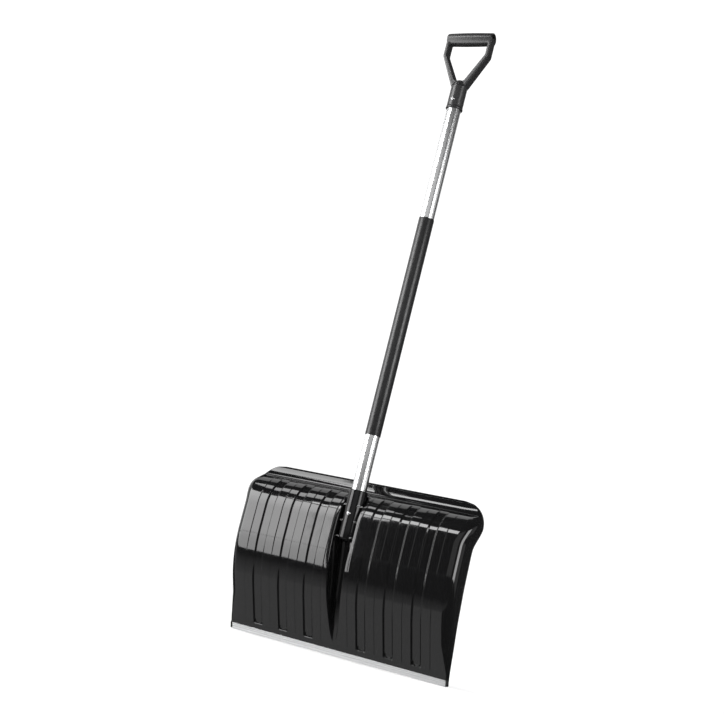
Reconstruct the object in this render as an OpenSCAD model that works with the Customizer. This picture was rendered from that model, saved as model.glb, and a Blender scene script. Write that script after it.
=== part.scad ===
// Snow shovel: a moulded plastic scoop with a metal wear strip, an aluminium shaft with a thin
// plastic sleeve, and a moulded D-grip. +Z runs up the shaft, the user stands on the -Y side,
// and the snow is carried on the +Y side. The cutting edge rests on z = 0.

/* [Blade] */
// Height of the blade, from the cutting edge to the top of the lip
blade_h = 343; // [326:1:420]
// Width of the blade over its side flanges
blade_w = 500; // [470:1:620]
// How much further each top corner stands out than the flange below it
corner_flare = 8; // [0:0.5:14]
// Radius of the top corners, seen from the user's side
corner_r = 50; // [30:1:60]
// Depth of the belly in front of the cutting edge
belly_depth = 77; // [62:0.5:84]
// Height of the belly's straight part
belly_flat = 47; // [30:1:60]
// Radius of the crest above the belly
crest_r = 68; // [55:1:76]
// Radius of the belly's lower curve, between the sloping foot and the straight part
belly_r = 235.6; // [200:0.1:250]
// Height of the lip that stands up behind the crest
lip_h = 27; // [18:0.5:32]
// Thickness of the blade's wall
blade_wall = 3.2; // [2.4:0.1:4]
// Thickness of the blade's foot, above the wear strip
foot_wall = 5; // [4.2:0.1:6]
// Height of the crease line above the cutting edge
crease_h = 22; // [19:0.5:26]
// How far the crease lies in front of the cutting edge
crease_depth = 10; // [8:0.5:12]
// Radius between the back and the side flanges
flange_r = 20; // [12:0.5:24]

/* [Channels] */
// Distance from the last raised band's middle to the blade's side
side_margin = 38.6; // [34:0.1:50]
// Width of a channel at the surface
channel_w = 23; // [16:0.5:30]
// Depth of a channel
channel_depth = 3; // [1:0.1:4]
// Width of a channel's sloping side
channel_side = 3.4; // [1:0.1:5]
// Height of the crease that runs along the middle of each raised band
band_rise = 0.3; // [0:0.1:2]
// Height of the pocket at the foot of each channel
pocket_h = 6.5; // [4:0.5:9]
// Depth of the pocket below the channel's floor
pocket_depth = 1.2; // [0.4:0.1:1.6]

/* [Shaft seat] */
// Room beside the socket in the central groove
groove_gap = 3.5; // [1:0.5:6]
// How far the shaft's face is sunk below the belly
shaft_sink = 3; // [1:0.5:6]
// Wall of the socket that holds the shaft
socket_wall = 3.5; // [3:0.1:4.5]
// Length of the socket's bore
socket_l = 94; // [70:1:110]
// How far the socket's mouth stands above the crest
socket_rise = 2; // [0:0.5:10]
// Thickness of the three webs that tie the socket to the groove
web_t = 2.2; // [1.6:0.1:3]

/* [Wear strip] */
// Length of the blade's corner stop beyond each end of the strip
corner_stop = 5; // [3:0.5:20]
// Height of the wear strip along the blade
strip_h = 13; // [11:0.5:15]
// Thickness of each leaf of the wear strip
strip_leaf = 1.2; // [0.8:0.1:1.4]
// Solid metal between the strip's slot and its cutting edge
strip_nose = 3; // [2:0.1:4]

/* [Shaft] */
// Outer diameter of the shaft tube
tube_d = 30; // [27:0.5:32]
// Wall of the shaft tube
tube_wall = 1.5; // [1:0.1:2]
// Overall length of the shovel
total_h = 1302; // [1100:1:1500]
// Height at which the sleeve begins
sleeve_z = 429; // [380:1:520]
// Length of the sleeve
sleeve_l = 457; // [250:1:500]
// Thickness of the sleeve
sleeve_t = 0.7; // [0.4:0.1:1.2]

/* [Grip] */
// Length of the crossbar
bar_l = 104; // [90:1:125]
// Diameter of the crossbar at its middle
bar_d = 28.6; // [25:0.1:34]
// How much thinner the crossbar is at its ends
bar_swell = 2; // [0:0.1:4]
// Wall of the crossbar at its ends
bar_wall = 3.3; // [2.5:0.1:6]
// Thickness of the yoke's arms
arm_t = 7.5; // [6:0.1:10]
// Depth of the yoke's arms, front to back
arm_depth = 20; // [16:0.5:26]
// Height of the yoke, from the top of the neck to the crossbar's axis
yoke_h = 106; // [90:1:125]
// Wall of the neck that the shaft enters
neck_wall = 2; // [1.6:0.1:4]
// Length of the neck's bore
neck_l = 54; // [40:1:70]

/* [Fasteners and fits] */
// Diameter of a screw's shank
screw_d = 3.9; // [3:0.1:5]
// Length of a screw below its head
screw_l = 13; // [10:0.5:16]
// Diameter of a screw's head
screw_head_d = 7.8; // [6:0.1:9]
// Height of a screw's head
screw_head_h = 2.4; // [1.5:0.1:3]
// Height of the blade screw above the socket's floor
blade_screw_rise = 46; // [38:0.5:54]
// Height of the grip screw above the neck's mouth
grip_screw_rise = 19; // [12:0.5:30]
// Radial clearance between the tube and what holds it
tube_fit = 0.1; // [0.05:0.01:0.2]
// Clearance between the wear strip and the blade's tongue
strip_fit = 0.05; // [0.02:0.01:0.1]
// Radial clearance round a screw's shank
screw_fit = 0.1; // [0.05:0.01:0.2]

/* [Hidden] */
$fn = 64;

foot_angle = atan2(crease_depth, crease_h);
crest_sweep = 70;
tube_r = tube_d / 2;
socket_r = tube_r + socket_wall;
neck_r = tube_r + neck_wall;
bar_bore = bar_d - bar_swell - 2 * bar_wall;
groove_w = 2 * (socket_r + groove_gap);
channel_pitch = (blade_w / 2 - side_margin) / 3.5;
strip_l = blade_w - 2 * corner_stop;
// How deep a screw's head sits in the round wall that it holds.
screw_sink = 0.6;
// The frame's origin lies under the middle of the whole object's box, front to back.
screw_front = belly_depth - shaft_sink - tube_r + socket_r - screw_sink + screw_head_h;
strip_back = foot_wall / cos(foot_angle);
edge_y = (screw_front - strip_back) / 2;
tube_y = edge_y - belly_depth + shaft_sink + tube_r;

crest_z = blade_h - lip_h - crest_r * sin(crest_sweep);
belly_z = crest_z - belly_flat;
// The lower part slopes so that it runs from the crease into the belly's curve without a kink.
ramp_rise = belly_z - crease_h;
ramp_room = belly_r - belly_depth + crease_depth;
ramp_angle = asin(belly_r / norm([ramp_rise, ramp_room])) - atan2(ramp_room, ramp_rise);
ramp_top_z = belly_z - belly_r * sin(ramp_angle);
shelf_y = edge_y - belly_depth + crest_r * (1 - cos(crest_sweep));
shelf_z = crest_z + crest_r * sin(crest_sweep);
socket_mouth_z = shelf_z + socket_rise;
socket_floor_z = socket_mouth_z - socket_l;
bar_z = total_h - bar_d / 2;
neck_top_z = bar_z - yoke_h;
neck_mouth_z = neck_top_z - neck_l;
grip_screw_z = neck_mouth_z + grip_screw_rise;
blade_screw_z = socket_floor_z + blade_screw_rise;
groove_floor_y = tube_y + socket_r - 1.5;
groove_foot_z = crease_h + 5;

// A point of the blade's foot: u is inwards from its face, v is up along it.
function foot(u, v) = [edge_y + u * cos(foot_angle) - v * sin(foot_angle),
                       u * sin(foot_angle) + v * cos(foot_angle)];

// The blade's upright section on the user's side, from the wear strip to the top of the lip.
function ramp_y(z) = edge_y - crease_depth - tan(ramp_angle) * (z - crease_h);
function belly_y(z) = edge_y - belly_depth + belly_r - sqrt(pow(belly_r, 2) - pow(belly_z - z, 2));
ramp_steps = 3;
belly_steps = 5;
crest_steps = 9;
spine = concat(
    [foot(0, strip_h + 0.1), [edge_y - crease_depth, crease_h]],
    [[ramp_y(crease_h + 1.5), crease_h + 1.5]],
    [for (z = [crease_h + pocket_h + 1.5, crease_h + pocket_h + 3]) [ramp_y(z), z]],
    [for (i = [1 : ramp_steps])
        let (z = crease_h + 10 + (ramp_top_z - crease_h - 10) * i / ramp_steps) [ramp_y(z), z]],
    [for (i = [1 : belly_steps])
        let (z = ramp_top_z + (belly_z - ramp_top_z) * i / belly_steps) [belly_y(z), z]],
    [for (i = [0 : crest_steps])
        let (a = crest_sweep * i / crest_steps)
        [edge_y - belly_depth + crest_r * (1 - cos(a)), crest_z + crest_r * sin(a)]],
    [[shelf_y + 4.5, shelf_z + 2], [shelf_y + 8.5, shelf_z + 6.5],
     [shelf_y + 12, shelf_z + lip_h * 0.55], [shelf_y + 13.2, blade_h]]);
levels = len(spine);

function unit(v) = v / norm(v);
function along(k) = unit(spine[min(k + 1, levels - 1)] - spine[max(k - 1, 0)]);
// Inwards is towards the snow.
function inward(k) = let (t = along(k)) [t[1], -t[0]];
function wall_at(z) = lookup(z, [[0, foot_wall], [crease_h + pocket_h + 6, foot_wall],
                                 [crease_h + pocket_h + 26, blade_wall], [blade_h, blade_wall]]);
function base(k, side) = spine[k] + side * wall_at(spine[k][1]) * inward(k);

// Half width of the blade, with its flared and rounded top corners.
function flare(z) = corner_flare * pow(max(0, min(1, (z - crest_z) / (corner_r * 0.9))), 2)
                  * (3 - 2 * max(0, min(1, (z - crest_z) / (corner_r * 0.9))));
function half_w(z) = let (c = blade_h - corner_r)
    z <= c ? blade_w / 2 + flare(z)
           : blade_w / 2 + flare(z) - corner_r + sqrt(max(0, pow(corner_r, 2) - pow(z - c, 2)));

// The flanges' rear edge, as a share of the blade's height and a distance behind the edge.
function rear_y(z) = edge_y + lookup(z / blade_h,
    [[0.03, 0], [0.07, -3], [0.33, -18], [0.52, -25], [0.73, -28], [0.85, -20], [1, -12]]);

// How strongly the channels stand out at a level: they end at the crease and on the crest.
function channel_share(z) = lookup(z, [[crease_h, 0], [crease_h + 1.5, 1],
    [crest_z + crest_r * sin(48), 1], [crest_z + crest_r * sin(64), 0]]);

// The central groove: it widens and deepens upwards from its tip, and its floor carries the socket.
function groove_half(z) = let (s = (z - groove_foot_z) / (socket_floor_z - groove_foot_z))
    max(1, groove_w / 2 * pow(max(0, min(1, s)), 0.4));
function groove_floor(z) = let (s = max(0, min(1, (z - groove_foot_z) / (socket_floor_z - groove_foot_z))))
    ramp_y(groove_foot_z) + (groove_floor_y - ramp_y(groove_foot_z)) * s;
function groove_depth(y, z, t) = z < groove_foot_z ? 0 : max(0, groove_floor(z) + t - y);

// Stations across half the panel: [place, 0] in the groove as a share of its half width, then
// [distance, shift] with the shift into the channel (1) or out of the raised band (-1).
groove_stations = [0, 0.3, 0.55, 0.75, 0.88, 0.96, 1];
band_stations = concat([[channel_pitch / 2, -1]],
    [for (n = [1 : 3]) for (s = [[-channel_w / 2, 0], [-channel_w / 2 + channel_side, 1],
                                 [channel_w / 2 - channel_side, 1], [channel_w / 2, 0],
                                 [channel_pitch / 2, -1]])
        [n * channel_pitch + s[0], s[1]]]);
fillet_steps = 4;

// Points from the middle of the blade to the rear edge of one side flange, at level k. Where the
// flange runs out along the lip, the wall's two faces end almost side by side.
function half_section(k, side) =
    let (b = base(k, side), y = b[0], z = b[1], n = inward(k), face = spine[k],
         wall = wall_at(face[1]), t = side * wall, w = half_w(face[1]),
         depth = max(wall + 1, rear_y(face[1]) - face[0]),
         r = max(wall + 0.5, min(flange_r, depth * 0.75)),
         end = side * (0.6 + (wall - 0.6) * min(1, (depth - wall - 1) / 8)),
         rear = face[0] + max(depth, r + 0.6),
         d = groove_depth(y, z, t),
         g = groove_half(z) + t * min(1, d / 4),
         squeeze = min(1, (w - r - 2) / (3.5 * channel_pitch)),
         share = channel_share(face[1]))
    concat(
        [for (s = groove_stations) [g * s, y + d * (1 - pow(s, 4)), z]],
        [for (s = band_stations)
            let (m = share * (s[1] > 0 ? channel_depth * s[1] : band_rise * s[1]))
            [s[0] * squeeze, y + m * n[0], z + m * n[1]]],
        [for (i = [0 : fillet_steps])
            let (a = 90 * i / fillet_steps)
            [w - r + (r - end) * sin(a), y + (r - t) * (1 - cos(a)), z]],
        [[w - end, rear, z]]);
function flip(p) = [-p[0], p[1], p[2]];
function section(k, side) = let (h = half_section(k, side), n = len(h))
    concat([for (i = [n - 1 : -1 : 1]) flip(h[i])], h);

module shell() {
    across = len(section(0, 0));
    grid = [for (side = [0, 1]) for (k = [0 : levels - 1]) each section(k, side)];
    function id(side, k, j) = (side * levels + k) * across + j;
    function quad(a, b, c, d) = [[a, b, c], [a, c, d]];
    faces = concat(
        [for (k = [0 : levels - 2]) for (j = [0 : across - 2])
            each quad(id(0, k, j), id(0, k + 1, j), id(0, k + 1, j + 1), id(0, k, j + 1))],
        [for (k = [0 : levels - 2]) for (j = [0 : across - 2])
            each quad(id(1, k, j), id(1, k, j + 1), id(1, k + 1, j + 1), id(1, k + 1, j))],
        [for (k = [0 : levels - 2]) each concat(
            quad(id(0, k, 0), id(1, k, 0), id(1, k + 1, 0), id(0, k + 1, 0)),
            quad(id(0, k, across - 1), id(0, k + 1, across - 1),
                 id(1, k + 1, across - 1), id(1, k, across - 1)))],
        [for (j = [0 : across - 2]) each concat(
            quad(id(0, 0, j), id(0, 0, j + 1), id(1, 0, j + 1), id(1, 0, j)),
            quad(id(0, levels - 1, j), id(1, levels - 1, j),
                 id(1, levels - 1, j + 1), id(0, levels - 1, j + 1)))]);
    polyhedron(grid, faces);
}

// A bar of constant section along X, drawn as [y, z].
module along_x(length, points) {
    translate([-length / 2, 0, 0])
        rotate([90, 0, 90])
            linear_extrude(length) polygon(points);
}

// A flat plate that fills the groove's section at height z, below the belly's surface.
module web(z) {
    y = edge_y - belly_depth;
    g = groove_half(z);
    d = groove_floor(z) - y;
    steps = 12;
    translate([0, 0, z - web_t / 2])
        linear_extrude(web_t)
            polygon(concat(
                [for (i = [-steps : steps])
                    let (s = 0.94 * i / steps) [g * s, y + 1 + d * (1 - pow(s, 4))]],
                [[g * 0.6, y + 4], [-g * 0.6, y + 4]]));
}

module tube_screw_hole(z) {
    translate([0, tube_y, z])
        rotate([90, 0, 0])
            cylinder(h = tube_d + 20, d = screw_d + 2 * screw_fit);
}

// A flat seat for a screw's head, cut into a round wall of radius r.
module screw_seat(z, r) {
    translate([0, tube_y - r + screw_sink, z])
        rotate([90, 0, 0])
            cylinder(h = 10, d = screw_head_d + 0.6);
}

module blade() {
    color([0.03, 0.03, 0.035])
        difference() {
            union() {
                shell();
                // The tongue that the wear strip is pressed on.
                along_x(strip_l - 2 * strip_fit,
                    [foot(strip_leaf + strip_fit, strip_nose + strip_fit),
                     foot(foot_wall - strip_leaf - strip_fit, strip_nose + strip_fit),
                     foot(foot_wall - strip_leaf - strip_fit, strip_h + 1),
                     foot(strip_leaf + strip_fit, strip_h + 1)]);
                // The corner stops beyond the strip's ends.
                for (side = [-1, 1])
                    translate([side * (strip_l / 2 + 0.1 + corner_stop / 2), 0, 0])
                        along_x(corner_stop,
                            [foot(0.4, 1), foot(foot_wall - 0.4, 1),
                             foot(foot_wall - 0.4, strip_h + 1), foot(0.4, strip_h + 1)]);
                // The socket, with a domed end, and the webs that tie it to the groove.
                translate([0, tube_y, socket_floor_z])
                    cylinder(h = socket_l, r = socket_r);
                translate([0, tube_y, socket_floor_z])
                    rotate_extrude()
                        polygon(concat([[0, 0]],
                            [for (a = [0 : 15 : 90]) [socket_r * cos(a), -8 * sin(a)]]));
                for (i = [0 : 2])
                    web(socket_floor_z + 0.5 + i * (socket_l - 31) / 2);
            }
            translate([0, tube_y, socket_floor_z])
                cylinder(h = socket_l + 1, r = tube_r + tube_fit);
            tube_screw_hole(blade_screw_z);
            screw_seat(blade_screw_z, socket_r);
            // The pockets at the foot of the channels.
            for (side = [-1, 1]) for (n = [1 : 3])
                translate([side * n * channel_pitch, ramp_y(crease_h + pocket_h / 2 + 1.5),
                           crease_h + pocket_h / 2 + 1.5])
                    rotate([-ramp_angle, 0, 0])
                        translate([0, channel_depth + pocket_depth - 10, 0])
                            cube([channel_w - 2 * channel_side, 20, pocket_h], center = true);
        }
}

module wear_strip() {
    flute = 0.35;
    flute_w = 1.2;
    color([0.78, 0.79, 0.8])
        along_x(strip_l, concat(
            [foot(0, 0), foot(foot_wall, -foot_wall * tan(foot_angle)), foot(foot_wall, strip_h),
             foot(foot_wall - strip_leaf, strip_h), foot(foot_wall - strip_leaf, strip_nose),
             foot(strip_leaf, strip_nose), foot(strip_leaf, strip_h), foot(0, strip_h)],
            [for (v = [strip_h * 0.72, strip_h * 0.4])
                each [foot(0, v + flute_w), foot(flute, v + flute_w / 2),
                      foot(flute, v - flute_w / 2), foot(0, v - flute_w)]]));
}

module shaft_tube() {
    color([0.82, 0.83, 0.84])
        difference() {
            translate([0, tube_y, socket_floor_z])
                cylinder(h = neck_top_z - socket_floor_z, r = tube_r);
            translate([0, tube_y, socket_floor_z - 1])
                cylinder(h = neck_top_z - socket_floor_z + 2, r = tube_r - tube_wall);
            tube_screw_hole(blade_screw_z);
            tube_screw_hole(grip_screw_z);
        }
}

module shaft_sleeve() {
    color([0.05, 0.05, 0.055])
        translate([0, tube_y, sleeve_z])
            difference() {
                cylinder(h = sleeve_l, r = tube_r + sleeve_t);
                translate([0, 0, -1])
                    cylinder(h = sleeve_l + 2, r = tube_r + strip_fit);
            }
}

// A polygon whose corners are rounded: each corner is [x, y, radius].
function corner(p, q, s) =
    let (c = [q[0], q[1]], u = unit([p[0], p[1]] - c), v = unit([s[0], s[1]] - c),
         half = acos(max(-1, min(1, u * v))) / 2,
         m = c + unit(u + v) * q[2] / sin(half),
         a = c + u * q[2] / tan(half) - m, b = c + v * q[2] / tan(half) - m,
         start = atan2(a[1], a[0]), turn = atan2(b[1], b[0]) - start,
         sweep = turn > 180 ? turn - 360 : turn < -180 ? turn + 360 : turn)
    [for (i = [0 : 8]) m + q[2] * [cos(start + sweep * i / 8), sin(start + sweep * i / 8)]];
function rounded(p) = let (n = len(p))
    [for (i = [0 : n - 1]) each corner(p[(i + n - 1) % n], p[i], p[(i + 1) % n])];

module yoke() {
    top = bar_z + 2;
    side = bar_l / 2;
    knee = bar_z - bar_d - 12;
    crotch = neck_top_z + 8.5;
    translate([0, tube_y, 0])
        rotate([90, 0, 0])
            linear_extrude(arm_depth, center = true)
                difference() {
                    polygon(rounded([[side, top, 2], [side, knee, 12], [neck_r - 2, neck_top_z - 6, 6],
                                     [-neck_r + 2, neck_top_z - 6, 6], [-side, knee, 12],
                                     [-side, top, 2]]));
                    polygon(rounded([[side - arm_t, top - 6, 2], [side - arm_t, knee + 3, 10],
                                     [10, crotch, 9], [-10, crotch, 9],
                                     [arm_t - side, knee + 3, 10], [arm_t - side, top - 6, 2]]));
                }
}

module crossbar() {
    r_end = (bar_d - bar_swell) / 2;
    round = 2;
    translate([0, tube_y, bar_z])
        rotate([0, 90, 0])
            rotate_extrude()
                polygon(concat(
                    [[bar_bore / 2 - 0.5, -bar_l / 2]],
                    [for (i = [-10 : 10])
                        let (s = i / 10, end = abs(s) == 1 ? round : 0)
                        [r_end + bar_swell / 2 * (1 - s * s) - end, s * bar_l / 2]],
                    [[bar_bore / 2 - 0.5, bar_l / 2]]));
}

module d_grip() {
    lip = 1;
    color([0.1, 0.1, 0.105])
        difference() {
            union() {
                yoke();
                crossbar();
                translate([0, tube_y, neck_mouth_z])
                    rotate_extrude()
                        polygon([[0, 0], [neck_r + lip, 0], [neck_r + lip, 2.5],
                                 [neck_r, 5], [neck_r, neck_l - 4],
                                 [neck_r - 3, neck_l + 4], [arm_depth / 2 - 1, neck_l + 10],
                                 [0, neck_l + 10]]);
            }
            translate([-bar_l, tube_y, bar_z])
                rotate([0, 90, 0])
                    cylinder(h = 2 * bar_l, d = bar_bore);
            translate([0, tube_y, neck_mouth_z - 1])
                cylinder(h = neck_l + 1, r = tube_r + tube_fit);
            tube_screw_hole(grip_screw_z);
            screw_seat(grip_screw_z, neck_r);
        }
}

// A pan-head self-tapping screw that enters from the user's side through a wall of radius r.
module tube_screw(z, r) {
    color([0.72, 0.72, 0.73])
        translate([0, tube_y - r + screw_sink, z])
            rotate([90, 0, 0])
                difference() {
                    union() {
                        translate([0, 0, -screw_l])
                            cylinder(h = screw_l, d = screw_d);
                        rotate_extrude()
                            polygon(concat([[0, 0]],
                                [for (a = [0 : 10 : 90])
                                    [screw_head_d / 2 * cos(a), screw_head_h * sin(a)]]));
                    }
                    for (turn = [0, 90])
                        rotate([0, 0, turn])
                            translate([-2.2, -0.45, screw_head_h - 1.2])
                                cube([4.4, 0.9, 2]);
                }
}

module blade_screw() { tube_screw(blade_screw_z, socket_r); }

module grip_screw() { tube_screw(grip_screw_z, neck_r); }

blade();
wear_strip();
shaft_tube();
shaft_sleeve();
d_grip();
blade_screw();
grip_screw();
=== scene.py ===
"""Snow shovel: a moulded blade with a metal wear strip, an aluminium shaft with a sleeve, and a D-grip."""
from math import asin, atan2, cos, hypot, pi, radians, sin, tan

import bmesh
import bpy
import numpy as np
from mathutils import Euler, Matrix, Vector


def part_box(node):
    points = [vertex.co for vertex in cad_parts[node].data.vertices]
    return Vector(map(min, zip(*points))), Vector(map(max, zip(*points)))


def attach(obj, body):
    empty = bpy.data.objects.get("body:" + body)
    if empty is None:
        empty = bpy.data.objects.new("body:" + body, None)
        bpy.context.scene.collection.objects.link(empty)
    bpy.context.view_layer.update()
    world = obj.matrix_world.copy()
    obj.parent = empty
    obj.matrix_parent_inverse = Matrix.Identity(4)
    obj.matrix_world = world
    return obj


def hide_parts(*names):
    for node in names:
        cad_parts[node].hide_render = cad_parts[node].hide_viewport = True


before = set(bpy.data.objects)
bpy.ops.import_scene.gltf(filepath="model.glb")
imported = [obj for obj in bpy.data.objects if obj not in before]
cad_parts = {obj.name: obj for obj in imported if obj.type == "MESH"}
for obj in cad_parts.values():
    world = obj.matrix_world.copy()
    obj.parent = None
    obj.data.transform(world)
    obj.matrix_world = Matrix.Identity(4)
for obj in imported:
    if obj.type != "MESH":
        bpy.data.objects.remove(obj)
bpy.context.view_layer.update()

# ---------------------------------------------------------------- camera and studio
# A low camera in front of the blade's right side. The shovel stands on a pale floor. The cards
# round it don't show to the camera. All show in gloss, and those with lights_up also light the scene.
camera = bpy.data.objects.new("camera", bpy.data.cameras.new("camera"))
camera.location = (1.25317, -2.19378, 0.09119)
camera.rotation_euler = Euler((radians(101.0862), radians(-13.9951), radians(28.5521)))
camera.data.lens = 63.964
camera.data.sensor_width = 36
camera.data.clip_start = 0.01
bpy.context.scene.collection.objects.link(camera)
bpy.context.scene.camera = camera
bpy.context.scene.view_settings.view_transform = "Standard"


def stage_piece(name, points, faces, material):
    mesh = bpy.data.meshes.new(name)
    mesh.from_pydata(points, [], faces)
    mesh.materials.append(material)
    piece = bpy.data.objects.new(name, mesh)
    bpy.context.scene.collection.objects.link(piece)
    return piece


def card_light(name, strength, fade=None):
    """An emitter. Fade is an axis, two places on it and the strength at the second place."""
    glow = bpy.data.materials.new(name)
    glow.use_nodes = True
    nodes, links = glow.node_tree.nodes, glow.node_tree.links
    nodes.clear()
    shine = nodes.new("ShaderNodeEmission")
    shine.inputs["Strength"].default_value = strength
    if fade:
        place, parts = nodes.new("ShaderNodeTexCoord"), nodes.new("ShaderNodeSeparateXYZ")
        spread = nodes.new("ShaderNodeMapRange")
        for socket, value in zip(list(spread.inputs)[1:5], (fade[1], fade[2], strength, fade[3])):
            socket.default_value = value
        links.new(place.outputs["Object"], parts.inputs[0])
        links.new(parts.outputs[fade[0]], spread.inputs[0])
        links.new(spread.outputs[0], shine.inputs["Strength"])
    out = nodes.new("ShaderNodeOutputMaterial")
    links.new(shine.outputs[0], out.inputs[0])
    return glow


def only_in_gloss(card, lights_up=True):
    card.visible_camera = False
    card.visible_diffuse = lights_up
    card.visible_shadow = False
    return card


def card(name, azimuths, elevations, strength, distance=5.0, lights_up=True, fade=None, lean=0.0):
    """A curved card round the blade's middle. Azimuth 0 is in front of the blade, and it
    grows towards -X. Lean moves its first edge by that many degrees a degree of elevation."""
    middle, steps = Vector((0, -0.04, 0.24)), 12
    points = []
    for i in range(steps + 1):
        for j in range(steps + 1):
            e = elevations[0] + (elevations[1] - elevations[0]) * j / steps
            first = azimuths[0] + lean * max(e, 0)
            a, e = radians(first + (azimuths[1] - first) * i / steps), radians(e)
            points.append(middle + distance * Vector((-sin(a) * cos(e), -cos(a) * cos(e), sin(e))))
    row = steps + 1
    faces = [(i * row + j, i * row + j + 1, (i + 1) * row + j + 1, (i + 1) * row + j)
             for i in range(steps) for j in range(steps)]
    return only_in_gloss(stage_piece(name, points, faces, card_light(name, strength, fade)), lights_up)


softbox_edge = 30.7
card("left_softbox", (softbox_edge, 66), (-3, 36), 6.6, fade=("Z", 0, 2.4, 8.6), lean=0.09)
card("left_wing", (66, 100), (-3, 36), 0.9)
card("right_softbox", (-84, -60), (-3, 32), 7)
card("front_strip", (25, 45), (38, 47), 11)
card("high_strip", (58, 80), (50, 60), 5)
card("white_backdrop", (100, 128), (-3, 36), 1.1, 7.0)
card("rear_backdrop", (160, 195), (-3, 36), 0.6, 7.0, False)
card("black_back", (129, 159), (-3, 41), 0.01, 7.0, False)
card("front_fill", (-40, 12), (-3, 40), 0.55, lights_up=False)
card("right_fill", (-125, -85), (-3, 36), 0.5, lights_up=False)
card("high_backdrop", (105, 160), (42, 62), 1.1, 7.0)

floor_white = bpy.data.materials.new("floor_white")
floor_white.use_nodes = True
floor_shader = floor_white.node_tree.nodes["Principled BSDF"]
floor_shader.inputs["Base Color"].default_value = (0.9, 0.9, 0.9, 1)
floor_shader.inputs["Roughness"].default_value = 0.8
floor_shader.inputs["Specular IOR Level"].default_value = 0
one_face, reach = [(0, 1, 2, 3)], 30.0
floor = stage_piece("floor", [(-reach, -reach, 0), (reach, -reach, 0), (reach, reach, 0), (-reach, reach, 0)],
                    one_face, floor_white)
floor.visible_glossy = False

# The floor itself doesn't show in gloss. These three stand in for it there: a pale card below the
# horizon, a dark cloth in front of the blade, and on the cloth the foot of the left softbox.
card("near_floor", (0, 80), (-88, -2.5), 0.7, lights_up=False)
cloth_z = 0.003
dark_cloth = stage_piece("dark_cloth", [(-5, 0.62, cloth_z), (-5, -5, cloth_z), (5, -5, cloth_z), (5, -0.98, cloth_z)],
                         one_face, card_light("dark_cloth", 0.7, ("Y", -0.10, -0.34, 0.06)))
only_in_gloss(dark_cloth, False)
foot_y, foot_z, far = -0.46, 0.006, 4.9
softbox_foot = stage_piece("softbox_foot", [
    (-0.25, foot_y, foot_z),
    (-0.02 - far * sin(radians(softbox_edge)), -far * cos(radians(softbox_edge)), foot_z),
    (-far, -far * 0.3, foot_z),
    (-0.95, foot_y, foot_z),
], one_face, card_light("softbox_foot", 5.2, ("Y", foot_y, -3, 6.6)))
only_in_gloss(softbox_foot, False)

world = bpy.data.worlds.new("studio")
bpy.context.scene.world = world
world.use_nodes = True
nodes, links = world.node_tree.nodes, world.node_tree.links
nodes.clear()
sight = nodes.new("ShaderNodeLightPath")
pale, dark = nodes.new("ShaderNodeBackground"), nodes.new("ShaderNodeBackground")
for background, strength in ((pale, 1.15), (dark, 0.05)):
    background.inputs["Color"].default_value = (1, 1, 1, 1)
    background.inputs["Strength"].default_value = strength
mixed, out = nodes.new("ShaderNodeMixShader"), nodes.new("ShaderNodeOutputWorld")
links.new(sight.outputs["Is Glossy Ray"], mixed.inputs[0])
links.new(pale.outputs[0], mixed.inputs[1])
links.new(dark.outputs[0], mixed.inputs[2])
links.new(mixed.outputs[0], out.inputs[0])

# ---------------------------------------------------------------- blade
# One injection moulding in gloss black plastic: a curved panel with six channels, a groove for
# the shaft and side flanges. Its foot is thicker, and carries the metal strip on a hidden tongue.
blade_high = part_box("blade")[1]
strip_low, strip_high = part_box("wear_strip")
tube_low, tube_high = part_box("shaft_tube")
axis_y, tube_r = (tube_low.y + tube_high.y) / 2, (tube_high.x - tube_low.x) / 2
blade_h, flare_w = blade_high.z, 0.008
blade_half = blade_high.x - flare_w
foot_wall, panel_wall = 0.005, 0.0032
crease_z, crease_in = 0.022, 0.010
foot_angle = atan2(crease_in, crease_z)
edge_y = strip_high.y - foot_wall / cos(foot_angle)
strip_h = 0.013
belly_in, belly_r, crest_r, crest_turn = 0.077, 0.2356, 0.068, radians(70)
lip_h, flat_h, corner_r, side_r = 0.027, 0.047, 0.050, 0.020
rim_r, rim_angle = 0.0006, radians(42)
shelf_z = blade_h - lip_h
crest_z = shelf_z - crest_r * sin(crest_turn)
belly_z = crest_z - flat_h
slope = (asin(belly_r / hypot(belly_z - crease_z, belly_r - belly_in + crease_in))
         - atan2(belly_r - belly_in + crease_in, belly_z - crease_z))
ramp_top = belly_z - belly_r * sin(slope)
shelf_y = edge_y - belly_in + crest_r * (1 - cos(crest_turn))
channel_pitch, channel_w, channel_side, channel_depth = 0.0604, 0.023, 0.0034, 0.003
pocket_low, pocket_high, pocket_depth = crease_z + 0.0015, crease_z + 0.008, 0.0012
socket_r, socket_floor, socket_top = tube_r + 0.0035, tube_low.z, shelf_z + 0.002
groove_half_w, groove_foot = socket_r + 0.0035, crease_z + 0.005
groove_floor_y = axis_y + socket_r - 0.0015


def ramp_y(z):
    return edge_y - crease_in - tan(slope) * (z - crease_z)


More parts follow.
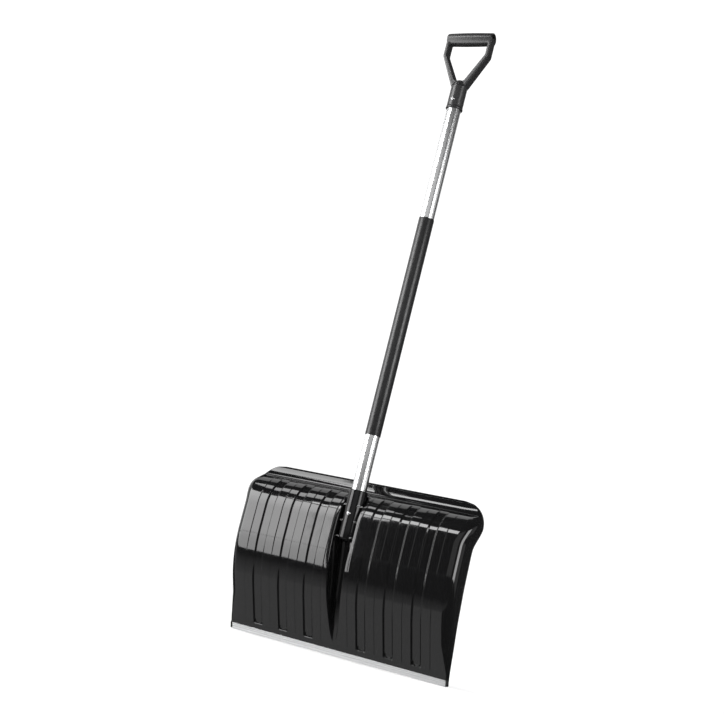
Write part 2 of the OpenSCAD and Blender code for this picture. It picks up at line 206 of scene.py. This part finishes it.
def upright_section():
    """Points (y, z) up the face that the user sees, from the strip to the top of the lip."""
    up = np.array([-sin(foot_angle), cos(foot_angle)])
    crease_v = hypot(crease_in, crease_z)
    points = [np.array([edge_y, 0]) + v * up
              for v in (strip_h + 0.0001, strip_h + 0.0006, 0.017, 0.020, 0.0228, 0.0236, crease_v)]
    for z in (0.0225, 0.023, 0.0235, 0.0238, 0.0242, 0.0255, 0.0275, 0.0293, 0.0297, 0.03, 0.0304,
              0.0312, 0.033, *np.linspace(0.036, ramp_top, 12)):
        points.append(np.array([ramp_y(z), z]))
    for z in np.linspace(ramp_top, belly_z, 26)[1:]:
        points.append(np.array([edge_y - belly_in + belly_r - (belly_r ** 2 - (belly_z - z) ** 2) ** 0.5, z]))
    for z in np.linspace(belly_z, crest_z, 6)[1:-1]:
        points.append(np.array([edge_y - belly_in, z]))
    for a in np.linspace(0, crest_turn, 34):
        points.append(np.array([edge_y - belly_in + crest_r * (1 - cos(a)), crest_z + crest_r * sin(a)]))
    turn = [points[-1], (shelf_y + 0.0045, shelf_z + 0.002), (shelf_y + 0.0085, shelf_z + 0.0065),
            (shelf_y + 0.012, shelf_z + lip_h * 0.55), (shelf_y + 0.0128, blade_h - 0.0044)]
    turn = np.array([points[-2], *turn, (shelf_y + 0.0130, blade_h + 0.010)])
    for i in range(1, len(turn) - 2):
        p, q, r, s = turn[i - 1:i + 3]
        for t in np.linspace(0, 1, 5)[1:]:
            points.append(q + 0.5 * t * (r - p + t * (2 * p - 5 * q + 4 * r - s + t * (3 * (q - r) + s - p))))
    for a in rim_angle * np.linspace(0.25, 1, 4):
        points.append(turn[-2] + rim_r * np.array([1 - cos(a), sin(a)]))
    slope_up = np.array([tan(rim_angle), 1])
    points += [points[-1] + slope_up * (blade_h - points[-1][1]) * f for f in (0.3, 1)]
    return np.array(points)


def smooth_step(a, b, x):
    t = np.clip((x - a) / (b - a), 0, 1)
    return t * t * (3 - 2 * t)


spine = upright_section()
tangent = np.gradient(spine, axis=0)
tangent /= np.linalg.norm(tangent, axis=1)[:, None]
inward = np.stack([tangent[:, 1], -tangent[:, 0]], 1)
spine_z = spine[:, 1]
wall = np.interp(spine_z, [0, crease_z + 0.0125, crease_z + 0.0325, blade_h],
                 [foot_wall, foot_wall, panel_wall, panel_wall])
half_w = blade_half + flare_w * smooth_step(crest_z, crest_z + 0.9 * corner_r, spine_z)
corner = np.clip(spine_z - (blade_h - corner_r), 0, corner_r)
half_w = half_w - corner_r + np.sqrt(corner_r ** 2 - corner ** 2)
rear_at = np.array([0.03, 0.07, 0.33, 0.52, 0.73, 0.85, 1]) * blade_h
rear_in = [0, -0.003, -0.018, -0.025, -0.028, -0.020, -0.012]
rear_y = edge_y + np.mean([np.interp(spine_z + s, rear_at, rear_in) for s in np.linspace(-0.012, 0.012, 7)], axis=0)
ribs_end = [crest_z + crest_r * sin(radians(a)) for a in (48, 64)]
rib_share = np.interp(spine_z, [crease_z, crease_z + 0.0015, *ribs_end], [0, 1, 1, 0])

# Places across half the panel: shares of the groove's half width, then distances from the middle.
groove_shares = np.concatenate([np.linspace(0, 0.7, 8), np.linspace(0.76, 1.24, 17), [1.32]])
edge = np.array([-0.0004, *np.linspace(0, channel_side, 7), channel_side + 0.0004])
line_at = np.array([-0.0018, -0.0014, -0.0004, 0, 0.0004, 0.0014, 0.0018])
band = list(0.0302 + line_at)
for n in (1, 2, 3):
    middle, half = n * channel_pitch, channel_w / 2
    pocket = half - channel_side
    band += [middle - half - 0.004, *(middle - half + edge),
             middle - pocket + 0.0008, middle - 0.003, middle + 0.003, middle + pocket - 0.0008,
             *(middle + half - edge[::-1]), middle + half + 0.004]
    band += list(middle + channel_pitch / 2 + line_at)
band = np.array(band)
turn_steps = np.linspace(0, pi / 2, 15)
groove_soft, flange_rim = 0.0006, 0.0006


def blade_half_level(k, side):
    """Points from the blade's middle to its side flange's rear edge, at level k of the section.
    Side is 0 on the face that the user sees and 1 on the snow's face. Each point also has its
    place across the ribs and its share of their depth."""
    t = side * wall[k]
    y, z = spine[k] + t * inward[k]
    foot_share = np.clip((z - groove_foot) / (socket_floor - groove_foot), 0, 1)
    floor_y = ramp_y(groove_foot) + (groove_floor_y - ramp_y(groove_foot)) * foot_share
    depth = floor_y + t - y if z > groove_foot else 0
    depth = 0.5 * (depth + hypot(depth, groove_soft)) - groove_soft / 2 if z > groove_foot else 0
    depth = max(depth, 0)
    g = max(0.001, groove_half_w * foot_share ** 0.4) + t * min(1, depth / 0.004)
    r = np.clip((rear_y[k] - spine[k][0]) * 0.75, wall[k] + 0.0005, side_r)
    room = max(wall[k] + 0.001, rear_y[k] - spine[k][0])
    end = side * (flange_rim + (wall[k] - flange_rim) * min(1, (room - wall[k] - 0.001) / 0.008))
    rear = spine[k][0] + max(room, r + flange_rim)
    squeeze = min(1, (half_w[k] - r - 0.002) / (3.5 * channel_pitch))
    down = 1 - groove_shares ** 4
    down = 0.5 * (down + np.sqrt(down ** 2 + 0.08 ** 2))
    down[-1] = 0
    points = [(g * s, y + depth * d, z, 0, 0) for s, d in zip(groove_shares, down)]
    last = g * groove_shares[-1]
    points += [(last + (band[0] * squeeze - last) * f, y, z, 0, 0) for f in (0.35, 0.7)]
    points += [(b * squeeze, y, z, b, rib_share[k]) for b in band]
    points += [(half_w[k] - r + (r - end) * sin(a), y + (r - t) * (1 - cos(a)), z, 0, 0) for a in turn_steps]
    y_turn = y + r - t
    points += [(half_w[k] - end, y_turn + (rear - y_turn) * f, z, 0, 0) for f in (0.33, 0.66, 1)]
    return points


def blade_level(k, side):
    half = blade_half_level(k, side)
    return [(-x, *rest) for x, *rest in half[:0:-1]] + half


def link(piece):
    bpy.context.scene.collection.objects.link(piece)
    return piece


def smooth_mesh(name, points, faces):
    mesh = bpy.data.meshes.new(name)
    mesh.from_pydata(points, [], faces)
    mesh.polygons.foreach_set("use_smooth", [True] * len(mesh.polygons))
    return mesh


levels = len(spine)
loops = [blade_level(k, 0) + blade_level(k, 1)[::-1] for k in range(levels)]
count = len(loops[0])
shell_points = np.array([p for loop in loops for p in loop])
shell_faces = [(low + j, low + count + j, low + count + (j + 1) % count, low + (j + 1) % count)
               for low in range(0, (levels - 1) * count, count) for j in range(count)]
for k, flip in ((0, False), (levels - 1, True)):
    for j in range(count // 2 - 1):
        ids = [k * count + i for i in (j, j + 1, count - 2 - j, count - 1 - j)]
        shell_faces.append(ids[::-1] if flip else ids)
shell = smooth_mesh("blade_shell", shell_points[:, :3].tolist(), shell_faces)
outer = np.tile(np.arange(count) < count // 2, levels)
for name, values in (("across", shell_points[:, 3]), ("rib_share", shell_points[:, 4]), ("outer", outer)):
    shell.attributes.new(name, "FLOAT", "POINT").data.foreach_set("value", values.astype(np.float32))
inward_at = np.repeat(np.column_stack([np.zeros(levels), inward]), count, axis=0).astype(np.float32)
shell.attributes.new("inward", "FLOAT_VECTOR", "POINT").data.foreach_set("vector", inward_at.ravel())


def node_tree(name, sizes):
    """An empty Geometry Nodes tree with a geometry in and out, a material, and one named size each."""
    tree = bpy.data.node_groups.new(name, "GeometryNodeTree")
    tree.interface.new_socket("Geometry", in_out="INPUT", socket_type="NodeSocketGeometry")
    tree.interface.new_socket("Geometry", in_out="OUTPUT", socket_type="NodeSocketGeometry")
    tree.interface.new_socket("Material", in_out="INPUT", socket_type="NodeSocketMaterial")
    for size in sizes:
        kind = "NodeSocketInt" if isinstance(sizes[size], int) else "NodeSocketFloat"
        tree.interface.new_socket(size, in_out="INPUT", socket_type=kind)
    return tree


def add(tree, kind, *feeds, **settings):
    """A node with its settings. A feed is a value or an output for the next input, or a pair of
    input name and feed."""
    node = tree.nodes.new(kind)
    for key, value in settings.items():
        setattr(node, key, value)
    for place, feed in enumerate(feeds):
        if isinstance(feed, tuple) and isinstance(feed[0], str):
            socket, feed = node.inputs[feed[0]], feed[1]
        else:
            socket = [s for s in node.inputs if s.enabled][place]
        if isinstance(feed, bpy.types.NodeSocket):
            tree.links.new(feed, socket)
        else:
            socket.default_value = feed
    return [s for s in node.outputs if s.enabled][0]


def calculate(tree, operation, *feeds):
    return add(tree, "ShaderNodeMath", *feeds, operation=operation)


def close(tree, geometry, material):
    """The last nodes of each tree: real meshes for any instances, and the material."""
    real = add(tree, "GeometryNodeRealizeInstances", geometry)
    done = add(tree, "GeometryNodeSetMaterial", real, ("Material", material))
    tree.links.new(done, tree.nodes.new("NodeGroupOutput").inputs["Geometry"])


def grown(name, tree, mesh, material, sizes):
    """The tree's result on that mesh, as a plain mesh piece."""
    piece = link(bpy.data.objects.new(name, mesh))
    grow = piece.modifiers.new(name, "NODES")
    grow.node_group = tree
    for socket in tree.interface.items_tree:
        if socket.in_out == "INPUT" and socket.name in sizes:
            grow[socket.identifier] = sizes[socket.name]
        elif socket.in_out == "INPUT" and socket.name == "Material":
            grow[socket.identifier] = material
    bpy.context.view_layer.update()
    result = bpy.data.meshes.new_from_object(piece.evaluated_get(bpy.context.evaluated_depsgraph_get()))
    piece.modifiers.remove(grow)
    piece.data = result
    result.name = name
    return piece


def surface(name, colour, roughness, metallic=0.0):
    material = bpy.data.materials.new(name)
    material.use_nodes = True
    shader = material.node_tree.nodes["Principled BSDF"]
    shader.inputs["Base Color"].default_value = (*colour, 1)
    shader.inputs["Roughness"].default_value = roughness
    shader.inputs["Metallic"].default_value = metallic
    return material, shader


def grain(material, scale, stretch=(1, 1, 1), detail=2.0):
    """A noise on Object coordinates. Scale is in grains a metre."""
    tree = material.node_tree
    place = tree.nodes.new("ShaderNodeTexCoord").outputs["Object"]
    spread = add(tree, "ShaderNodeMapping", place, ("Scale", stretch))
    noise = tree.nodes.new("ShaderNodeTexNoise")
    noise.inputs["Scale"].default_value = scale
    noise.inputs["Detail"].default_value = detail
    tree.links.new(spread, noise.inputs["Vector"])
    return noise.outputs[0]


def vary(material, socket, noise, low, high):
    """The noise spreads that socket's value from low to high."""
    spread = add(material.node_tree, "ShaderNodeMapRange", noise, 0.3, 0.7, low, high)
    material.node_tree.links.new(spread, socket)


def bump(material, shader, heights):
    """Stacked bumps: each is a noise and its height in metres."""
    normal = None
    for noise, height in heights:
        node = material.node_tree.nodes.new("ShaderNodeBump")
        node.inputs["Strength"].default_value = 1
        node.inputs["Distance"].default_value = height
        material.node_tree.links.new(noise, node.inputs["Height"])
        if normal:
            material.node_tree.links.new(normal, node.inputs["Normal"])
        normal = node.outputs[0]
    material.node_tree.links.new(normal, shader.inputs["Normal"])


gloss_black, shader = surface("gloss_black", (0.0035, 0.0035, 0.0037), 0.07)
vary(gloss_black, shader.inputs["Roughness"], grain(gloss_black, 60, detail=4), 0.05, 0.09)
bump(gloss_black, shader, [(grain(gloss_black, 45), 0.00004), (grain(gloss_black, 900), 0.000002)])

# The channels, the pockets at their feet and the creases between the raised bands are pushed in
# along the section's normal. A crease is a small step that faces right.
pocket_ledge, pocket_side = 0.0003, 0.0006
rib_sizes = {"Pitch": channel_pitch, "Channel Width": channel_w, "Channel Side": channel_side,
             "Channel Depth": channel_depth, "Band Rise": 0.00012, "Crease Step": 0.0005, "Crease Width": 0.0014,
             "Pocket Foot": pocket_low, "Pocket Head": pocket_high, "Pocket Depth": pocket_depth}
ribs = node_tree("blade_ribs", rib_sizes)
entry = ribs.nodes.new("NodeGroupInput").outputs
across = add(ribs, "GeometryNodeInputNamedAttribute", "across")
share = add(ribs, "GeometryNodeInputNamedAttribute", "rib_share")
outside = add(ribs, "GeometryNodeInputNamedAttribute", "outer")
push = add(ribs, "GeometryNodeInputNamedAttribute", "inward", data_type="FLOAT_VECTOR")
level_x = add(ribs, "ShaderNodeSeparateXYZ", add(ribs, "GeometryNodeInputPosition"))
level_z = level_x.node.outputs["Z"]
nearest = calculate(ribs, "ROUND", calculate(ribs, "DIVIDE", across, entry["Pitch"]))
nearest = calculate(ribs, "MINIMUM", calculate(ribs, "MAXIMUM", nearest, 1.0), 3.0)
from_middle = calculate(ribs, "SUBTRACT", across, calculate(ribs, "MULTIPLY", nearest, entry["Pitch"]))
off = calculate(ribs, "ABSOLUTE", from_middle)
half = calculate(ribs, "MULTIPLY", entry["Channel Width"], 0.5)
floor_half = calculate(ribs, "SUBTRACT", half, entry["Channel Side"])
half_pitch = calculate(ribs, "MULTIPLY", entry["Pitch"], 0.5)
channel = add(ribs, "ShaderNodeMapRange", off, floor_half, half, entry["Channel Depth"], 0.0)
rise = add(ribs, "ShaderNodeMapRange", off, half, half_pitch, 0.0, entry["Band Rise"])


def crease_down(past_edge):
    """The step down that starts at a band's edge and is full a crease's width past it."""
    return add(ribs, "ShaderNodeMapRange", past_edge, 0.0, entry["Crease Width"], 0.0, entry["Crease Step"])


right = calculate(ribs, "MULTIPLY", from_middle, calculate(ribs, "SIGN", level_x))
from_left = calculate(ribs, "MULTIPLY", crease_down(calculate(ribs, "ADD", right, half_pitch)),
                      calculate(ribs, "LESS_THAN", right, 0.0))
past_right = crease_down(calculate(ribs, "SUBTRACT", right, half_pitch))
channel = calculate(ribs, "MAXIMUM", channel, calculate(ribs, "MAXIMUM", from_left, past_right))
pocket_across = add(ribs, "ShaderNodeMapRange", off, calculate(ribs, "SUBTRACT", floor_half, pocket_side), floor_half,
                    1.0, 0.0, interpolation_type="SMOOTHSTEP")
pocket_up = add(ribs, "ShaderNodeMapRange", level_z, entry["Pocket Foot"],
                calculate(ribs, "ADD", entry["Pocket Foot"], pocket_ledge), 0.0, 1.0)
pocket_down = add(ribs, "ShaderNodeMapRange", level_z, calculate(ribs, "SUBTRACT", entry["Pocket Head"], pocket_ledge),
                  entry["Pocket Head"], entry["Pocket Depth"], 0.0)
pocket = calculate(ribs, "MULTIPLY", calculate(ribs, "MULTIPLY", pocket_across, pocket_up),
                   calculate(ribs, "MULTIPLY", pocket_down, outside))
depth = calculate(ribs, "ADD", calculate(ribs, "SUBTRACT", channel, rise), pocket)
shift = add(ribs, "ShaderNodeVectorMath", push, ("Scale", calculate(ribs, "MULTIPLY", depth, share)),
            operation="SCALE")
close(ribs, add(ribs, "GeometryNodeSetPosition", entry["Geometry"], ("Offset", shift)), entry["Material"])
blade = grown("blade_skin", ribs, shell, gloss_black, rib_sizes)
rims = blade.modifiers.new("rims", "BEVEL")
rims.width, rims.segments, rims.limit_method, rims.angle_limit = 0.0006, 3, "ANGLE", radians(60)
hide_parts("blade")
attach(blade, "root")


def foot_point(u, v):
    """A point (y, z) of the blade's foot: u is inwards from its face, v is up along it."""
    return (edge_y + u * cos(foot_angle) - v * sin(foot_angle), u * sin(foot_angle) + v * cos(foot_angle))


def prism(name, outline, low, high, axis="X"):
    """A mesh of constant section. The outline is (y, z) along X, or (x, y) along Z."""
    n = len(outline)
    points = [(h, *p) if axis == "X" else (*p, h) for h in (low, high) for p in outline]
    return smooth_mesh(name, points, [tuple(range(n)), tuple(range(2 * n - 1, n - 1, -1)),
                                      *[(i, n + i, n + (i + 1) % n, (i + 1) % n) for i in range(n)]])


def finish_mesh(piece, bevel=0.0, angle=40):
    """Normals outwards, smooth faces, and rounded edges where they turn more than that angle."""
    work = bmesh.new()
    work.from_mesh(piece.data)
    bmesh.ops.remove_doubles(work, verts=work.verts, dist=1e-6)
    bmesh.ops.recalc_face_normals(work, faces=work.faces)
    if bevel:
        sharp = [e for e in work.edges if e.is_manifold and e.calc_face_angle() > radians(angle)]
        bmesh.ops.bevel(work, geom=sharp, offset=bevel, segments=3, profile=0.5, affect="EDGES",
                        clamp_overlap=True)
    for face in work.faces:
        face.smooth = True
    work.to_mesh(piece.data)
    work.free()
    return piece


# The small corner stops beyond the strip's ends, part of the same moulding. A gap keeps them off
# the strip, and they stand back a little from the blade's two faces.
seat_gap, stop_in, stop_up = 0.0001, 0.0004, 0.001
stop_outline = [foot_point(stop_in, stop_up), foot_point(foot_wall - stop_in, stop_up),
                foot_point(foot_wall - stop_in, strip_h + stop_up), foot_point(stop_in, strip_h + stop_up)]
for name, side in (("corner_stop_left", -1), ("corner_stop_right", 1)):
    x_low, x_high = sorted((side * (strip_high.x + seat_gap), side * blade_half))
    stop = finish_mesh(link(bpy.data.objects.new(name, prism(name, stop_outline, x_low, x_high))), 0.0006)
    stop.data.materials.append(gloss_black)
    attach(stop, "root")


def lathe(name, outline, place, steps=96, axis="Z"):
    """A closed outline of (radius, height), turned round an axis along Z or X through place."""
    n = len(outline)
    points = []
    for i in range(steps):
        a = 2 * pi * i / steps
        for r, h in outline:
            p = (r * cos(a), r * sin(a), h) if axis == "Z" else (h, r * cos(a), r * sin(a))
            points.append(Vector(p) + Vector(place))
    faces = []
    for i in range(steps):
        here, there = i * n, (i + 1) % steps * n
        for j in range(n):
            after = (j + 1) % n
            if outline[j][0] > 0 or outline[after][0] > 0:
                faces.append((here + j, there + j, there + after, here + after))
    return finish_mesh(link(bpy.data.objects.new(name, smooth_mesh(name, points, faces))))


# The socket that stands in the groove: a round cup with a domed end and a rolled mouth.
bore_r, dome_h = tube_r + seat_gap, 0.008
mouth = [(bore_r, socket_top - 0.0006), (bore_r + 0.0003, socket_top - 0.0002), (bore_r + 0.0007, socket_top),
         (socket_r - 0.0012, socket_top), (socket_r - 0.0004, socket_top - 0.0004), (socket_r, socket_top - 0.0012)]
dome = [(socket_r * cos(a), socket_floor - dome_h * sin(a)) for a in np.linspace(0, pi / 2, 12)]
dome[-1] = (0, socket_floor - dome_h)
socket = lathe("shaft_socket", [(0, socket_floor), (bore_r, socket_floor), *mouth, *dome], (0, axis_y, 0))
socket_black, shader = surface("socket_black", (0.003, 0.003, 0.0032), 0.12)
shader.inputs["Specular IOR Level"].default_value = 0.3
vary(socket_black, shader.inputs["Roughness"], grain(socket_black, 200, detail=4), 0.1, 0.2)
bump(socket_black, shader, [(grain(socket_black, 120), 0.00006)])
socket.data.materials.append(socket_black)
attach(socket, "root")

# Three webs across the groove tie the socket in.
web_y, web_t = edge_y - belly_in, 0.0022
web_deep = groove_floor_y - web_y
web_outline = [(groove_half_w * s, web_y + 0.001 + web_deep * (1 - s ** 4)) for s in np.linspace(-0.94, 0.94, 25)]
web_outline += [(groove_half_w * 0.6, web_y + 0.004), (-groove_half_w * 0.6, web_y + 0.004)]
web_mesh = prism("web", web_outline, -web_t / 2, web_t / 2, "Z")
web_sizes = {"Count": 3, "First Height": socket_floor + 0.0005, "Pitch": (socket_top - socket_floor - 0.031) / 2}
web_row = node_tree("socket_webs", web_sizes)
entry = web_row.nodes.new("NodeGroupInput").outputs
start = add(web_row, "ShaderNodeCombineXYZ", 0.0, 0.0, entry["First Height"])
step = add(web_row, "ShaderNodeCombineXYZ", 0.0, 0.0, entry["Pitch"])
row = add(web_row, "GeometryNodeMeshLine", ("Count", entry["Count"]), ("Start Location", start),
          ("Offset", step))
row = add(web_row, "GeometryNodeInstanceOnPoints", row, ("Instance", entry["Geometry"]))
close(web_row, row, entry["Material"])
webs = finish_mesh(grown("socket_webs", web_row, web_mesh, socket_black, web_sizes), 0.0002)
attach(webs, "root")

# ---------------------------------------------------------------- wear strip
# An extruded aluminium channel, mill finish, pressed over the tongue along the blade's foot.
strip_metal, shader = surface("strip_metal", (0.90, 0.905, 0.91), 0.32, 1.0)
drawn = grain(strip_metal, 900, (0.02, 1, 1), 3)
vary(strip_metal, shader.inputs["Roughness"], drawn, 0.24, 0.42)
bump(strip_metal, shader, [(drawn, 0.00002)])
leaf, nose, flute, flute_w = 0.0012, 0.003, 0.0005, 0.0020
slant, strip_edge_r = foot_wall * tan(foot_angle), 0.00025
outline = [foot_point(0, 0), foot_point(foot_wall, -slant), foot_point(foot_wall, strip_h),
           foot_point(foot_wall - leaf, strip_h), foot_point(foot_wall - leaf, nose), foot_point(leaf, nose),
           foot_point(leaf, strip_h), foot_point(0, strip_h)]
for v in (strip_h * 0.72, strip_h * 0.4):
    outline += [foot_point(flute * (1 - cos(a)) / 2, v + flute_w * (1 - a / pi))
                for a in np.linspace(0, 2 * pi, 9)]
strip_mesh = prism("wear_strip_metal", outline, strip_low.x, strip_high.x)
strip = finish_mesh(link(bpy.data.objects.new("wear_strip_metal", strip_mesh)), strip_edge_r, 50)
strip.data.materials.append(strip_metal)
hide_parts("wear_strip")
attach(strip, "root")

# ---------------------------------------------------------------- shaft tube and sleeve
# A drawn and anodised aluminium tube, open at both hidden ends. A thin black plastic sleeve is
# shrunk on its middle, so its edges hug the tube.
tube_metal, shader = surface("tube_metal", (0.90, 0.905, 0.91), 0.26, 1.0)
drawn = grain(tube_metal, 700, (1, 1, 0.01), 3)
vary(tube_metal, shader.inputs["Roughness"], drawn, 0.22, 0.30)
bump(tube_metal, shader, [(drawn, 0.0000006)])
sleeve_black, shader = surface("sleeve_black", (0.006, 0.006, 0.0065), 0.32)
vary(sleeve_black, shader.inputs["Roughness"], grain(sleeve_black, 260, (1, 1, 0.3), 4), 0.28, 0.38)
bump(sleeve_black, shader, [(grain(sleeve_black, 120, (1, 1, 0.2)), 0.00002),
                            (grain(sleeve_black, 2500), 0.000004)])

ring_sizes = {"Inner Radius": 0.0, "Outer Radius": 0.0, "Foot": 0.0, "Head": 0.0, "Edge Radius": 0.0003,
              "Sides": 128}
wall_ring = node_tree("turned_wall", ring_sizes)
entry = wall_ring.nodes.new("NodeGroupInput").outputs
path = add(wall_ring, "GeometryNodeCurvePrimitiveCircle", ("Resolution", entry["Sides"]),
           ("Radius", entry["Outer Radius"]))
thick = calculate(wall_ring, "SUBTRACT", entry["Outer Radius"], entry["Inner Radius"])
tall = calculate(wall_ring, "SUBTRACT", entry["Head"], entry["Foot"])
section = add(wall_ring, "GeometryNodeCurvePrimitiveQuadrilateral", ("Width", thick), ("Height", tall))
section = add(wall_ring, "GeometryNodeFilletCurve", section, ("Count", 3), ("Radius", entry["Edge Radius"]),
              ("Limit Radius", True), mode="POLY")
middle_z = calculate(wall_ring, "MULTIPLY", calculate(wall_ring, "ADD", entry["Head"], entry["Foot"]), -0.5)
centre = add(wall_ring, "ShaderNodeCombineXYZ", calculate(wall_ring, "MULTIPLY", thick, -0.5), middle_z, 0.0)
section = add(wall_ring, "GeometryNodeSetPosition", section, ("Offset", centre))
close(wall_ring, add(wall_ring, "GeometryNodeCurveToMesh", path, section), entry["Material"])


def turned_wall(name, inner_r, outer_r, foot, head, material):
    """A round wall with rounded ends, about the shaft's axis."""
    sizes = {**ring_sizes, "Inner Radius": inner_r, "Outer Radius": outer_r, "Foot": foot, "Head": head}
    piece = grown(name, wall_ring, bpy.data.meshes.new(name), material, sizes)
    piece.data.transform(Matrix.Translation((0, axis_y, 0)))
    return finish_mesh(piece)


tube_wall, sleeve_gap = 0.0015, 0.00005
tube = turned_wall("shaft_tube_metal", tube_r - tube_wall, tube_r, tube_low.z, tube_high.z, tube_metal)
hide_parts("shaft_tube")
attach(tube, "root")
sleeve_low, sleeve_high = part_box("shaft_sleeve")
sleeve = turned_wall("shaft_sleeve_plastic", tube_r + sleeve_gap, sleeve_high.x, sleeve_low.z, sleeve_high.z,
                     sleeve_black)
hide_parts("shaft_sleeve")
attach(sleeve, "root")

# ---------------------------------------------------------------- D-grip
# One moulding in charcoal plastic: a hollow barrel-shaped crossbar, two arms and a neck that the
# shaft is pushed into. The three are joined by remeshing, which gives the small fillets of a mould.
grip_low, grip_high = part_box("d_grip")
bar_half, bar_r, bar_end_r, bar_bore = grip_high.x, 0.0143, 0.0133, 0.010
bar_z = grip_high.z - bar_r
neck_top, neck_r, neck_foot = bar_z - 0.106, tube_r + 0.002, grip_low.z
arm_t, arm_deep = 0.0075, 0.020


def rounded(corners):
    """An outline through corners (x, z, radius), each rounded."""
    outline = []
    for i, (x, z, r) in enumerate(corners):
        here = Vector((x, z))
        u = (Vector(corners[i - 1][:2]) - here).normalized()
        v = (Vector(corners[(i + 1) % len(corners)][:2]) - here).normalized()
        half = u.angle(v) / 2
        a, b = here + u * r / tan(half), here + v * r / tan(half)
        m = here + (u + v).normalized() * r / sin(half)
        for t in np.linspace(0, 1, 9):
            outline.append(m + ((a - m) * (1 - t) + (b - m) * t).normalized() * r)
    return outline


top, knee, crotch = bar_z + 0.002, bar_z - 2 * bar_r - 0.012, neck_top + 0.0085
right_outside = [(bar_half, top, 0.002), (bar_half, knee, 0.012), (neck_r - 0.002, neck_top - 0.006, 0.006)]
right_inside = [(bar_half - arm_t, top - 0.006, 0.002), (bar_half - arm_t, knee + 0.003, 0.010), (0.010, crotch, 0.009)]
outside, inside = (rounded(right + [(-x, z, r) for x, z, r in right[::-1]]) for right in (right_outside, right_inside))
n = len(outside)
points = [(p.x, axis_y + y, p.y)
          for outline in (outside, inside) for y in (-arm_deep / 2, arm_deep / 2) for p in outline]
faces = []
for i in range(n):
    j = (i + 1) % n
    faces += [(i, j, n + j, n + i), (2 * n + i, 3 * n + i, 3 * n + j, 2 * n + j),
              (i, 2 * n + i, 2 * n + j, j), (n + i, n + j, 3 * n + j, 3 * n + i)]
yoke = finish_mesh(link(bpy.data.objects.new("yoke", smooth_mesh("yoke", points, faces))))
barrel = [(bar_bore, -bar_half), (bar_bore, bar_half)]
barrel += [(bar_end_r + (bar_r - bar_end_r) * (1 - s * s) - (0.0015 if abs(s) == 1 else 0), s * bar_half)
           for s in (1, 0.985, *np.linspace(0.9, -0.9, 19), -0.985, -1)]
bar = lathe("bar", barrel, (0, axis_y, bar_z), axis="X")
neck_outline = [(bore_r, 0), (neck_r + 0.001, 0), (neck_r + 0.001, 0.0025), (neck_r, 0.005), (neck_r, 0.050),
                (neck_r - 0.003, 0.058), (arm_deep / 2 - 0.001, 0.064), (0, 0.064), (0, 0.054), (bore_r, 0.054)]
neck = lathe("neck", neck_outline, (0, axis_y, neck_foot))
work = bmesh.new()
for part in (yoke, bar, neck):
    work.from_mesh(part.data)
    bpy.data.objects.remove(part)
grip_mesh = bpy.data.meshes.new("d_grip_plastic")
work.to_mesh(grip_mesh)
work.free()
grip = link(bpy.data.objects.new("d_grip_plastic", grip_mesh))
blend = grip.modifiers.new("blend", "REMESH")
blend.mode, blend.voxel_size, blend.use_smooth_shade = "VOXEL", 0.0009, True
relax = grip.modifiers.new("relax", "SMOOTH")
relax.factor, relax.iterations = 0.5, 12
bpy.context.view_layer.update()
grip.data = bpy.data.meshes.new_from_object(grip.evaluated_get(bpy.context.evaluated_depsgraph_get()))
grip.modifiers.clear()
grip_charcoal, shader = surface("grip_charcoal", (0.013, 0.013, 0.0135), 0.28)
vary(grip_charcoal, shader.inputs["Roughness"], grain(grip_charcoal, 150, detail=4), 0.24, 0.33)
bump(grip_charcoal, shader, [(grain(grip_charcoal, 1400, detail=0), 0.0000015)])
grip.data.materials.clear()
grip.data.materials.append(grip_charcoal)
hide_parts("d_grip")
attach(grip, "root")

# ---------------------------------------------------------------- screws
# Two zinc-plated pan-head tapping screws, driven from the user's side through the socket and the
# grip's neck into the tube.
zinc, shader = surface("zinc", (0.74, 0.74, 0.75), 0.2, 1.0)
vary(zinc, shader.inputs["Roughness"], grain(zinc, 2500), 0.16, 0.3)
head_r, head_h, shank_r, shank_l = 0.0039, 0.0024, 0.00195, 0.013
head = [(0, -shank_l), (shank_r * 0.5, -shank_l), (shank_r, -shank_l + 0.002), (shank_r, 0), (head_r - 0.0002, 0)]
head += [(head_r * cos(a), 0.0003 + (head_h - 0.0003) * sin(a)) for a in np.linspace(0.1, pi / 2, 9)[:-1]]
head += [(0.0016, head_h - 0.0001), (0.0009, head_h - 0.0011), (0, head_h - 0.0013)]
screw = lathe("screw", head, (0, 0, 0), 48)
screw_mesh = screw.data.copy()
bpy.data.objects.remove(screw)
screw_sizes = {}
for name, node in (("Lower", "blade_screw"), ("Upper", "grip_screw")):
    screw_low, screw_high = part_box(node)
    screw_sizes[name + " Height"] = ((screw_low + screw_high) / 2).z
    screw_sizes[name + " Front"] = screw_low.y + head_h
screw_set = node_tree("tapping_screws", screw_sizes)
entry = screw_set.nodes.new("NodeGroupInput").outputs
lower = add(screw_set, "ShaderNodeCombineXYZ", 0.0, entry["Lower Front"], entry["Lower Height"])
upper = add(screw_set, "ShaderNodeCombineXYZ", 0.0, entry["Upper Front"], entry["Upper Height"])
ends = add(screw_set, "GeometryNodeMeshLine", ("Count", 2), ("Start Location", lower), ("Offset", upper),
           mode="END_POINTS")
turned = add(screw_set, "GeometryNodeInstanceOnPoints", ends, ("Instance", entry["Geometry"]),
             ("Rotation", (pi / 2, 0.0, 0.0)))
close(screw_set, turned, entry["Material"])
screws = finish_mesh(grown("tapping_screws", screw_set, screw_mesh, zinc, screw_sizes))
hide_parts("blade_screw", "grip_screw")
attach(screws, "root")
